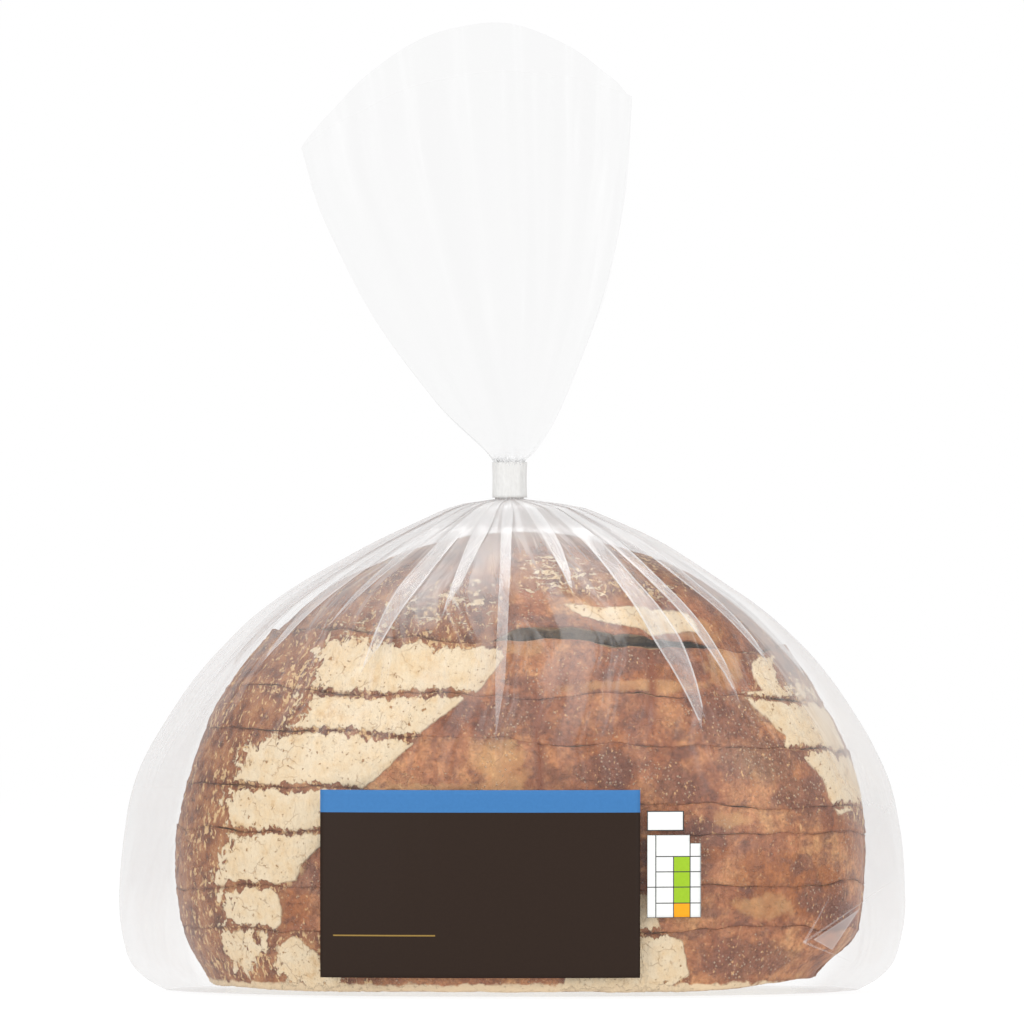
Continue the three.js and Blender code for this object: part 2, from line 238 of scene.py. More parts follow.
def bake_crust(mesh, upper, lower, shift, number):
    """Raises the crust's bumps and the crumb's pores, and notes what the material needs."""
    at = points_of(mesh) / MM
    count = len(at)
    x, y, z = at.T
    seed = CRUST_SEED
    local = (at - np.array(LOAF_CENTRE)) / (LOAF_HALF_WIDTH, 1, LOAF_HALF_HEIGHT)
    crown = local[:, 1] < 0
    power = np.where(crown, CROWN_POWER, BASE_POWER)
    local[:, 1] /= np.where(crown, CROWN_DEPTH, BASE_DEPTH)
    across = np.hypot(local[:, 0], local[:, 2])
    reach = (across**power + np.abs(local[:, 1]) ** power) ** (1 / power)
    from_middle = np.linalg.norm(at - np.array(LOAF_CENTRE), axis=1)
    rind = from_middle * (1 - reach) / np.maximum(reach, 0.05)

    # Each cut: how far away it is, where the crumb's pores sink from it, and the saw's waviness.
    cut = np.full(count, 60.0)
    sink = np.zeros((count, 3))
    wave = np.zeros(count)
    for plane, sign, joint in ((upper, -1, number - 1), (lower, 1, number)):
        if plane is None:
            continue
        away = sign * ((at - np.array(plane[0])) @ np.array(plane[1]))
        cut = np.minimum(cut, away)
        sink += (smooth(1.2, 0.4, away) * sign)[:, None] * np.array(plane[1])[None, :]
        if joint < len(CUTS):
            bend = 1.9 * lumps(at, (21, 21, 1e6), 5.5 + 9 * joint)
            bend += 0.8 * lumps(at, (6, 6, 1e6), 2.5 + 9 * joint)
            wave += bend * smooth(6.5, 0.5, away)

    flour = np.max([inside_outline(x, z, patch) for patch in FLOUR_PATCHES], axis=0)
    opened = inside_outline(x, z, OPENED_CRUST)
    dust = np.max([inside_outline(x, z, place) for place in DUSTED], axis=0)
    behind = smooth(*BEHIND, y)
    flour = flour * (1 - behind) - 9 * behind
    opened = opened * (1 - behind) - 9 * behind

    out = np.stack(
        [
            local[:, 0] * across ** (power - 2) / LOAF_HALF_WIDTH,
            np.sign(local[:, 1]) * np.abs(local[:, 1]) ** (power - 1)
            / np.where(crown, CROWN_DEPTH, BASE_DEPTH),
            local[:, 2] * across ** (power - 2) / LOAF_HALF_HEIGHT,
        ],
        axis=1,
    )
    out /= np.maximum(np.linalg.norm(out, axis=1), 1e-9)[:, None]

    on_crust = 1 - smooth(0.9, 2.2, rind)
    old_crust = 1 - smooth(-3, 1, opened)
    rise = 0.75 * lumps(at, 27, seed) + 0.3 * lumps(at, 9, seed + 7)
    rise += 0.16 * lumps(at, 2.6, seed + 3)
    cracks = np.exp(-((lumps(at, 6.5, seed + 11) / 0.05) ** 2))
    rise += old_crust * (0.55 - 0.3 * cracks) - 0.25 * (1 - old_crust)
    flakes = np.abs(lumps(at, (2.4, 3.0, 4.6), seed + 19))
    rise -= 0.75 * flakes * old_crust * (1 - smooth(-4, 0, flour))
    tight = 0.1 + 0.4 * lumps(at, (16, 16, 40), seed + 29) + 0.3 * smooth(-2, 1, flour)
    torn = np.maximum(0, tight + 0.5 * lumps(at, (3.2, 3.2, 30), seed + 23))
    rise -= torn * np.exp(-((cut / 0.9) ** 2))
    rise += 0.4 * np.exp(-((cut / 0.6) ** 2)) * (flour < 1)
    wobble = x + 0.8 * lumps(at, (8, 8, 8), seed + 41)
    groove = np.zeros(count)
    for place, top, bottom in CREASES:
        reach_z = smooth(bottom - 2, bottom + 4, z) * smooth(top + 2, top - 4, z)
        near = np.exp(-(((wobble - place) / 1.1) ** 2))
        groove = np.maximum(groove, near * reach_z * (y < 0))
    rise -= GROOVE_DEPTH * groove

    # Broad marks on the crown, with ragged edges, and the crumb's pores.
    ragged = 0.5 * lumps(at, 7, seed + 43) + 0.35 * lumps(at, 2.2, seed + 44)

    def spread_over(spots):
        found = np.zeros(count)
        for px, pz, half_x, half_z in spots:
            off = np.hypot((x - px) / half_x, (z - pz) / half_z)
            found = np.maximum(found, smooth(1.6, 0.2, off + 0.5 * ragged) * (y < 0))
        return found

    crumb = smooth(1.5, 3, rind) * (1 - smooth(0.3, 0.9, cut))
    pores = smooth(0.12, 0.42, lumps(at, (7, 6, 5), seed + 31))
    pores = np.maximum(pores, 0.5 * smooth(0.2, 0.45, lumps(at, 2.8, seed + 37)))
    press = smooth(5, 2, rind) * (0.18 + 0.25 * lumps(at, (11, 11, 40), seed + 47))
    moved = at + out * (rise * on_crust)[:, None]
    moved += sink * (PORE_DEPTH * pores * crumb - press)[:, None]
    moved[:, 0] += shift
    moved[:, 2] += wave
    low_right, low_left = smooth(52, 94, x), smooth(-62, -92, x)
    moved[:, 0] += (3.0 * low_left - 7.0 * low_right) * smooth(20, 1, z)
    moved[:, 2] += (1.2 * low_left + 2.4 * low_right) * smooth(14, 2, z)
    if upper is None:  # the heel rests on the slice below it, except along one open gap
        gap = np.maximum(0, HEEL_HINGE - y) * math.tan(math.radians(HEEL_LEAN))
        held = smooth(-9, 3, x) * smooth(60, 49, x) + 0.5 * lumps(at, (13, 30, 30), 20.3)
        held *= smooth(22, 12, rind)
        moved[:, 2] -= gap * (1.02 - held).clip(0, 1) * smooth(10, 0, cut)
    mesh.vertices.foreach_set("co", (moved * MM).ravel())
    note(mesh, rind=rind, cut=cut, flour=flour, opened=opened, groove=groove)
    note(mesh, pale=spread_over(PALE_PLACES), dark=spread_over(DARK_PLACES))
    note(mesh, amber=spread_over(AMBER_PLACES), dust=dust - 30 * behind)
    note(mesh, pores=pores * crumb, slice=np.full(count, 23.0 * number))
    mesh.polygons.foreach_set("use_smooth", np.ones(len(mesh.polygons), bool))
    mesh.update()


def put(tree, kind, inputs=None, **settings):
    """Adds a shader node, sets it up, and gives each input a value or a link."""
    made = tree.nodes.new(kind)
    for name, value in settings.items():
        setattr(made, name, value)
    for key, value in (inputs or {}).items():
        if isinstance(value, bpy.types.NodeSocket):
            tree.links.new(value, made.inputs[key])
        else:
            made.inputs[key].default_value = value
    return made


def calc(tree, operation, first, second=0.0, third=0.0, clamp=False):
    made = put(tree, "ShaderNodeMath", {0: first, 1: second, 2: third}, operation=operation)
    made.use_clamp = clamp
    return made.outputs[0]


def span(tree, value, low, high):
    """0 at low, 1 at high, smooth between."""
    inputs = {"Value": value, "From Min": low, "From Max": high}
    return put(tree, "ShaderNodeMapRange", inputs, interpolation_type="SMOOTHSTEP").outputs[0]


def times(tree, first, second):
    return calc(tree, "MULTIPLY", first, second)


def scaled(tree, value, share, added, clamp=False):
    return calc(tree, "MULTIPLY_ADD", value, share, added, clamp)


def tint(tree, factor, first, second, kind="MIX"):
    inputs = {0: factor, 6: first, 7: second}
    return put(tree, "ShaderNodeMix", inputs, data_type="RGBA", blend_type=kind).outputs[2]


def stained(tree, colour, mask, strength, stain):
    return tint(tree, times(tree, mask, strength), colour, (*stain, 1))


def grain_group():
    """Noise from 0 to 1, with its scale in lumps per millimetre, for every finish here."""
    group = bpy.data.node_groups.new("grain", "ShaderNodeTree")
    socket = group.interface.new_socket
    for name in ("Place", "Stretch"):
        socket(name, in_out="INPUT", socket_type="NodeSocketVector")
    for name in ("Scale", "Detail", "Distortion"):
        socket(name, in_out="INPUT", socket_type="NodeSocketFloat")
    socket("Grain", in_out="OUTPUT", socket_type="NodeSocketFloat")
    given = put(group, "NodeGroupInput").outputs
    inputs = {"Vector": given["Place"], "Scale": given["Stretch"]}
    mapped = put(group, "ShaderNodeMapping", inputs).outputs[0]
    inputs = {key: given[key] for key in ("Scale", "Detail", "Distortion")}
    made = put(group, "ShaderNodeTexNoise", {"Vector": mapped, "Roughness": 0.6, **inputs})
    put(group, "NodeGroupOutput", {"Grain": made.outputs[0]})
    return group


grain_nodes = grain_group()


def grain(tree, where, scale, detail=3.0, stretch=(1, 1, 1), distortion=0.0):
    inputs = {"Place": where, "Stretch": stretch, "Scale": scale, "Detail": detail}
    inputs["Distortion"] = distortion
    return put(tree, "ShaderNodeGroup", inputs, node_tree=grain_nodes).outputs[0]


def ramp(tree, value, stops):
    made = put(tree, "ShaderNodeValToRGB", {0: value})
    band = made.color_ramp.elements
    while len(band) < len(stops):
        band.new(0.5)
    for element, (place, colour) in zip(band, stops):
        element.position = place
        element.color = (*colour, 1)
    return made.outputs[0]


def mottled(tree, colour, pattern, strength, low, high, shade):
    """The colour shaded where the pattern is low, and clear of it where the pattern is high."""
    shades = ramp(tree, pattern, [(low, shade), (high, (1.0, 1.0, 1.0))])
    return tint(tree, strength, colour, shades, "MULTIPLY")


def noted(tree, name):
    return put(tree, "ShaderNodeAttribute", attribute_name=name).outputs["Fac"]


def millimetres(tree):
    place = put(tree, "ShaderNodeTexCoord").outputs["Object"]
    inputs = {0: place, "Scale": 1 / MM}
    return put(tree, "ShaderNodeVectorMath", inputs, operation="SCALE").outputs[0]


def bumped(tree, height, strength, distance):
    inputs = {"Height": height, "Strength": strength, "Distance": distance}
    return put(tree, "ShaderNodeBump", inputs).outputs[0]


def fresh_material(name):
    material = bpy.data.materials.new(name)
    material.use_nodes = True
    material.node_tree.nodes.clear()
    return material, material.node_tree


def surfaced(tree, colour, roughness, normal, specular=0.5):
    inputs = {"Base Color": colour, "Roughness": roughness, "Normal": normal}
    inputs["Specular IOR Level"] = specular
    surface = put(tree, "ShaderNodeBsdfPrincipled", inputs)
    put(tree, "ShaderNodeOutputMaterial", {"Surface": surface.outputs[0]})


def ragged_place(tree, name, where, scale):
    """A noted place whose edge is broken up by noise instead of fading evenly."""
    broken = scaled(tree, grain(tree, where, scale, 6), 1.7, -0.85)
    return span(tree, calc(tree, "ADD", noted(tree, name), broken), 0.25, 0.80)


BROWNS = [
    (0.32, (0.270, 0.085, 0.036)),
    (0.42, (0.450, 0.165, 0.070)),
    (0.50, (0.600, 0.250, 0.110)),
    (0.58, (0.720, 0.340, 0.145)),
    (0.70, (0.830, 0.480, 0.215)),
]
OLD_BROWNS = [
    (0.32, (0.120, 0.038, 0.016)),
    (0.43, (0.220, 0.074, 0.029)),
    (0.54, (0.335, 0.128, 0.049)),
    (0.68, (0.470, 0.220, 0.088)),
]
OCHRES = [(0.35, (0.50, 0.24, 0.09)), (0.65, (0.68, 0.40, 0.17))]
FLOURS = [
    (0.28, (0.640, 0.420, 0.215)),
    (0.40, (0.780, 0.590, 0.365)),
    (0.58, (0.795, 0.645, 0.445)),
]
CRUMBS = [(0.3, (0.66, 0.50, 0.30)), (0.65, (0.86, 0.74, 0.52))]
# The last colour on the next line is painted shade, laid along the crust's creases.
AMBER_CRUST, PLUM, CREASE_SHADE = (0.46, 0.150, 0.032), (0.245, 0.098, 0.066), (0.235, 0.060, 0.016)
SPECK, BLISTER, FLECK = (0.74, 0.44, 0.20), (0.80, 0.60, 0.42), (0.76, 0.51, 0.255)
# The first colour on the next line is painted shade for pits in the old crust, and the last is
# painted shade for pores in the crumb.
PIT_SHADE, BARE_FLAW, PORE_SHADE = (0.085, 0.030, 0.016), (0.42, 0.22, 0.09), (0.52, 0.34, 0.18)
FLOURED_RIM, UNDER_CRUST = (0.80, 0.62, 0.40), (0.42, 0.22, 0.10)


def opened_crust(tree, where, fine):
    """Smooth crust, from deep red-brown to amber, and where its small pale blisters are."""
    # The slices have slipped a little, so their tones do not quite meet.
    slip = put(tree, "ShaderNodeCombineXYZ", {1: noted(tree, "slice")}).outputs[0]
    slipped = put(tree, "ShaderNodeVectorMath", {0: where, 1: slip}, operation="ADD").outputs[0]
    brown = ramp(tree, grain(tree, slipped, 0.05, 5), BROWNS)
    dark = ragged_place(tree, "dark", where, 0.22)
    plum = span(tree, grain(tree, slipped, 0.09, 5, (1, 1, 1.6)), 0.51, 0.63)
    plum = calc(tree, "MAXIMUM", plum, dark)
    brown = stained(tree, brown, ragged_place(tree, "amber", where, 0.2), 0.8, AMBER_CRUST)
    brown = stained(tree, brown, plum, 0.68, PLUM)
    drawn = grain(tree, slipped, 0.45, 3, (1, 1, 0.12))
    brown = mottled(tree, brown, drawn, 0.6, 0.35, 0.62, (0.80, 0.66, 0.56))
    patches = grain(tree, where, 0.33, 6, (1, 1, 0.8))
    brown = mottled(tree, brown, patches, 0.8, 0.36, 0.6, (0.62, 0.53, 0.50))
    brown = mottled(tree, brown, fine, 0.85, 0.3, 0.7, (0.45, 0.40, 0.36))
    brown = tint(
        tree,
        times(tree, ragged_place(tree, "pale", where, 0.3), 0.5),
        brown,
        ramp(tree, grain(tree, where, 0.12, 4), OCHRES),
    )
    # painted shade: each crease groove is painted a dark red-brown
    brown = stained(tree, brown, noted(tree, "groove"), 1.0, CREASE_SHADE)

    crowd = span(tree, grain(tree, where, 0.07, 3), 0.42, 0.66)
    crowd = calc(tree, "MAXIMUM", crowd, dark)
    speck = span(tree, grain(tree, where, 0.95, 4, (1, 1, 0.7)), 0.60, 0.70)
    speck_strength = scaled(tree, crowd, 0.5, 0.35)
    brown = stained(tree, brown, speck, speck_strength, SPECK)
    inputs = {"Vector": where, "Scale": 0.75}
    blister = put(tree, "ShaderNodeTexVoronoi", inputs).outputs["Distance"]
    blister_size = scaled(tree, crowd, 0.30, 0.06)
    some = scaled(tree, grain(tree, where, 1.3, 2), 1.8, -0.2, clamp=True)
    blister = times(tree, span(tree, blister, blister_size, 0.04), some)
    return stained(tree, brown, blister, 0.75, BLISTER), blister


def old_crust(tree, where, flour, flake):
    """Mottled dark brown crust, with golden flecks that run upwards, and small pits painted near
    black as shade.
    """
    colour = ramp(tree, grain(tree, where, 0.2, 5), OLD_BROWNS)
    crowding = scaled(tree, grain(tree, where, 0.07, 3), -0.36, 0.735)
    beside = span(tree, flour, -11.0, 0.0)
    crowding = scaled(tree, beside, -0.035, crowding)
    fleck = span(tree, calc(tree, "SUBTRACT", flake, crowding), 0.025, 0.07)
    colour = stained(tree, colour, fleck, 0.85, FLECK)
    # painted shade: small pits in the old crust are stained near black
    pit = span(tree, grain(tree, where, 0.5, 4), 0.40, 0.30)
    return stained(tree, colour, pit, 0.8, PIT_SHADE)


def flour_cover(tree, where, flour, opened, cut):
    """Flour lies crisp along the slashes, flakes off along the cuts, is worn on the flanks."""
    wear = span(tree, opened, -1.0, -14.0)
    looseness = scaled(tree, wear, 19.0, 1.6)
    patchy = calc(tree, "SUBTRACT", grain(tree, where, 0.30, 6, (1, 1, 0.8), 0.6), 0.47)
    cover = span(tree, scaled(tree, patchy, looseness, flour), -0.25, 0.35)
    chip = scaled(tree, grain(tree, where, 0.36, 5, (1, 1, 0.25)), 6.4, -2.3)
    cover = times(tree, cover, span(tree, calc(tree, "SUBTRACT", cut, chip), -0.1, 0.25))
    limits = {"From Min": -5.0, "From Max": 5.0, "To Min": -0.16, "To Max": 0.02}
    inputs = {"Value": noted(tree, "dust"), **limits}
    held_dust = put(tree, "ShaderNodeMapRange", inputs).outputs[0]
    dust_flake = grain(tree, where, 0.5, 5, (0.6, 1, 1.4), 0.7)
    dusting = span(tree, calc(tree, "ADD", dust_flake, held_dust), 0.545, 0.60)
    return calc(tree, "MAXIMUM", cover, dusting)


def flour_flaws(tree, where):
    """Bent cracks in the flour, and pits right through it."""
    bend = put(tree, "ShaderNodeTexNoise", {"Vector": where, "Scale": 0.25}).outputs["Color"]
    inputs = {0: bend, 1: (5.0, 5.0, 5.0), 2: where}
    bent = put(tree, "ShaderNodeVectorMath", inputs, operation="MULTIPLY_ADD").outputs[0]
    inputs = {"Vector": bent, "Scale": 0.15}
    crack = put(tree, "ShaderNodeTexVoronoi", inputs, feature="DISTANCE_TO_EDGE").outputs[0]
    some = span(tree, grain(tree, where, 0.12, 2), 0.48, 0.62)
    crack = times(tree, span(tree, crack, 0.026, 0.002), some)
    pit = span(tree, grain(tree, where, 0.75, 3), 0.37, 0.30)
    return calc(tree, "MAXIMUM", times(tree, crack, 0.55), pit)


def crust_material():
    material, tree = fresh_material("baked_crust")
    where = millimetres(tree)
    rind, cut, flour, opened = (noted(tree, n) for n in ("rind", "cut", "flour", "opened"))
    fine = grain(tree, where, 0.9, 4)
    flake = grain(tree, where, 0.85, 5, (1, 1, 0.5), 0.4)
    opened_colour, blister = opened_crust(tree, where, fine)
    old = span(tree, opened, 1.0, -1.5)
    outside = tint(tree, old, opened_colour, old_crust(tree, where, flour, flake))
    cover = flour_cover(tree, where, flour, opened, cut)
    flaw = flour_flaws(tree, where)
    flour_colour = ramp(tree, grain(tree, where, 0.22, 6), FLOURS)
    flour_colour = stained(tree, flour_colour, flaw, 1.0, BARE_FLAW)
    outside = tint(tree, cover, outside, flour_colour)

    # The crust is painted darker within about a millimetre of each cut: painted shade for the dark
    # gap between slices. The knife bares the crumb on the cut face. A pale, floury rim runs round
    # the foot of the bottom slice.
    edge = times(tree, span(tree, cut, 1.1, 0.1), scaled(tree, cover, 0.45, 0.3))
    outside = tint(tree, edge, outside, (0.50, 0.36, 0.30, 1), "MULTIPLY")
    height = put(tree, "ShaderNodeSeparateXYZ", {0: where}).outputs[2]
    rim = scaled(tree, grain(tree, where, 0.3, 4), 4.0, height)
    outside = stained(tree, outside, span(tree, rim, 6.0, 5.2), 0.9, FLOURED_RIM)
    crumb = ramp(tree, grain(tree, where, 0.35, 4), CRUMBS)
    # painted shade: the crumb is darkened in its pores, where shade falls in them
    crumb = stained(tree, crumb, noted(tree, "pores"), 0.8, PORE_SHADE)
    under = tint(tree, span(tree, rind, 2.2, 4.0), (*UNDER_CRUST, 1), crumb)
    colour = tint(tree, span(tree, rind, 0.9, 1.7), outside, under)

    relief = times(tree, fine, 0.35)
    for part, share in ((cover, 0.5), (blister, 0.6), (times(tree, flake, old), 1.2), (flaw, -0.4)):
        relief = scaled(tree, part, share, relief)
    roughness = scaled(tree, cover, 0.35, 0.5)
    surfaced(tree, colour, roughness, bumped(tree, relief, 0.8, 0.0009), 0.35)
    return material


loaf = whole_loaf()
baked_crust = crust_material()
planes = [knife_plane(height + KNIFE_GAP / 2, fall) for height, fall in CUTS]
planes_below = [knife_plane(height - KNIFE_GAP / 2, fall) for height, fall in CUTS]
heel_plane = knife_plane(CUTS[0][0] + KNIFE_GAP / 2, CUTS[0][1], -HEEL_LEAN)
cut_face = knife_plane(CUT_FACE, 0)
bread_names = ["heel"] + [f"slice_{n}" for n in range(1, 8)]
uppers = [None] + planes_below
lowers = [heel_plane] + planes[1:] + [cut_face]
for number, (name, upper, lower) in enumerate(zip(bread_names, uppers, lowers)):
    shape = cut_from(loaf, upper, lower)
    shift = SLIP * noise.noise(Vector((number * 1.7, 0.4, 0.2)))
    bake_crust(shape, upper, lower, shift, number)
    piece = object_of(shape, f"bread_{name}")
    shape.name = piece.name
    shape.materials.clear()
    shape.materials.append(baked_crust)
    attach(piece, "root")
    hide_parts(name)
loaf.free()

# --------------------
# The bag: one thin clear film tube, sealed along its bottom, pulled up over the bread and gathered
# into flat pleats that run to a narrow neck. Above the neck it opens out again into a loose fan.

FILM_SLACK = 1.7
FILM_BASE = 0.3
NECK_BOTTOM, NECK_TOP = 140.2, 150.8
NECK_HALF_WIDTH, NECK_HALF_DEPTH = 3.9, 3.1
NECK_X, NECK_Y = -0.7, 4.0
TENT_FOOT, SHIFT_FOOT = 116.0, 131.0
TENT_SPREAD = 33.4
BAG_HALF_WIDTH = [
    (0, 98), (4, 104.8), (11, 109.7), (28, 112), (58, 108.2), (83, 95), (100, 81),
    (113, 65.5), (125.7, 43.4), (134, 25.7), (138.5, 14.5), (140.2, 3.9),
]
FAN_LEFT = [(-4.6, 150.8), (-8.6, 155.0), (-22, 168), (-40.6, 194), (-54, 221.5), (-59.9, 240.3)]
FAN_RIGHT = [(3.2, 150.8), (7.2, 155.0), (15.3, 169.5), (26.5, 198.5), (32, 226), (33.9, 254.8)]
FAN_FRONT_ARCH, FAN_BACK_ARCH, FAN_HALF_DEPTH = 13.0, 28.0, 9.0

# Each pleat: its place round the section in degrees, the height of its pointed foot, its width,
# and how milky it is.
FRONT_PLEATS = [
    (22, 86, 4.2, 0.5), (33, 90, 5.0, 0.8), (47, 73, 3.0, 1.0), (57, 71, 7.6, 1.0),
    (74, 108, 5.0, 0.7), (92, 58, 2.8, 0.0), (105, 99, 4.0, 0.6), (118, 85, 5.5, 0.85),
    (132, 95, 2.8, 0.8), (144, 88, 4.0, 0.7), (158, 84, 3.5, 0.5),
]
BACK_PLEATS = [
    (204, 88, 4.0, 0.5), (217, 76, 5.2, 0.8), (229, 92, 3.0, 0.8), (241, 70, 6.8, 1.0),
    (255, 98, 4.4, 0.7), (268, 82, 5.6, 0.7), (281, 66, 7.2, 1.0), (295, 90, 3.2, 0.8),
    (308, 78, 6.0, 0.9), (321, 94, 4.0, 0.6), (336, 84, 4.4, 0.5),
]
PLEAT_TAPER = 30.0
PLEAT_LIFT = 0.3
FOLD_SHARE, MOST_FOLD = 0.62, 0.13  # of the way to the next pleat, and in radians
FLAT_PLEAT = 0.035  # the room that a pleat's columns keep where it is not folded
PLEAT_COLUMNS = (
    -1.1, -1.0, -0.75, -0.5, -0.25, 0.0, 0.06, 0.18, 0.4, 0.6, 0.82, 0.94, 1.0, 1.25, 1.5,
    1.75, 2.0, 2.05, 2.3,
)
GAP_COLUMNS, SIDE_GAP_COLUMNS = 5, 13
# Where the film clouds the bread: middle and width in degrees, heights it fades in over, strength.
CLOUDED = [
    (121, 22, 96, 116, 0.9), (141, 11, 78, 112, 0.45), (16, 14, 44, 70, 1.8),
    (166, 10, 44, 80, 0.45), (62, 8, 96, 118, 0.3), (106, 8, 99, 124, 0.7),
    (24, 7, 70, 92, 1.4), (78, 16, 60, 84, 0.2), (92, 12, 108, 126, 0.3), (136, 8, 58, 92, 0.25),
]
# Creases that meet at the lower right, and the film tucked double between them: how milky each
# is, and its corners as (x, z).
TUCKS = [
    (0.26, [(85.3, 15.7), (90.6, 12.7), (98.3, 23.8)]),
    (0.10, [(82.3, 15.1), (82.8, 14.9), (98.4, 25.3)]),
    (0.10, [(82.3, 15.1), (82.8, 14.9), (87.7, 23.9)]),
    (0.10, [(82.5, 15.2), (82.4, 14.8), (91.0, 11.3)]),
]
BASE_ROWS, BODY_ROWS, NECK_ROWS, FAN_ROWS = 7, 108, 6, 52


def through(points, steps=40):
    """Points close together on a smooth curve through the given ones."""
    known = np.array(points, float)
    known = np.vstack([2 * known[0] - known[1], known, 2 * known[-1] - known[-2]])
    t = np.linspace(0, 1, steps, endpoint=False)[:, None]
    parts = [
        0.5 * (2 * b + (c - a) * t + (2 * a - 5 * b + 4 * c - d) * t**2
               + (3 * b - a - 3 * c + d) * t**3)
        for a, b, c, d in zip(known, known[1:], known[2:], known[3:])
    ]
    return np.vstack(parts + [known[-2:-1]])


def pleat_half(pleats, heights, radius, start, fan_part):
    """Columns of half the tube: their place round the section and their distances to folds."""
    places = np.radians([p[0] for p in pleats])
    feet = np.array([p[1] for p in pleats], float)
    widths = np.array([p[2] for p in pleats], float)
    milkiness = [p[3] for p in pleats]
    climb = np.clip((heights[:, None] - feet) / PLEAT_TAPER, 0, 1)
    opening = np.clip(1 - fan_part[:, None] / (0.02 + 0.0012 * (feet - 60)), 0, 1)
    turn_radius = radius[:, None] * np.maximum(0.4, np.abs(np.sin(places)))
    spacing = np.min(np.diff(np.concatenate([[start], places, [start + math.pi]])))
    room = min(FOLD_SHARE * spacing, MOST_FOLD)
    near_neck = smooth(118, 136, heights)[:, None]
    wanted = np.minimum(widths / turn_radius, room + 0.03 * near_neck)
    fold = wanted * climb * opening
    spread = np.maximum(fold, FLAT_PLEAT)
    knots = places - start + fold / 2 + np.cumsum(2 * fold, axis=1) - 2 * fold
    total = math.pi + 2 * fold.sum(axis=1)
    starts = knots - 1.1 * spread
    ends = knots + 2.3 * spread
    columns = []
    previous = np.zeros(len(heights))
    for k in range(len(pleats) + 1):
        following = starts[:, k] if k < len(pleats) else total
        count = SIDE_GAP_COLUMNS if k in (0, len(pleats)) else GAP_COLUMNS
        for step in range(count):
            part = step / count
            columns.append(previous + (following - previous) * part)
        if k < len(pleats):
            for place in PLEAT_COLUMNS[:-1]:
                columns.append(knots[:, k] + place * spread[:, k])
            previous = ends[:, k]
    film = np.stack(columns, axis=1)
    turn = film.copy()
    lift = np.zeros_like(film)
    veil = np.zeros_like(film)
    edge = np.full_like(film, 6.0)
    for k in range(len(pleats)):
        t = (film - knots[:, k : k + 1]) / spread[:, k : k + 1]
        turn -= 2 * fold[:, k : k + 1] * smooth(0, 1, t)
    for k in range(len(pleats)):
        t = (film - knots[:, k : k + 1]) / spread[:, k : k + 1]
        folded = smooth(0.33, 0.6, fold[:, k : k + 1] / spread[:, k : k + 1])
        step = np.clip(t, 0, 1) * 2 * (1 - smooth(2.0, 2.3, t))
        lift += PLEAT_LIFT * step * folded
        strip = smooth(0.0, 0.06, t) * (1 - smooth(2.0, 2.05, t))
        strength = 0.5 + 0.5 * np.clip((heights[:, None] - feet[k]) / 40, 0, 1)
        strength = strength * milkiness[k]
        veil = np.maximum(veil, strip * folded * strength)
        crest = places[k] - start + fold[:, k : k + 1] / 2
        near = np.minimum(np.abs(turn - crest), np.abs(turn - crest + fold[:, k : k + 1]))
        near = near * turn_radius[:, k : k + 1] + 0.35 * (1 - milkiness[k])
        inside = (t > -1.11) & (t < 2.31) & (folded > 0.01)
        edge = np.where(inside, np.minimum(edge, near + 3 * (1 - folded)), edge)
    share = film / total[:, None]
    return turn + start, lift, veil, edge, share


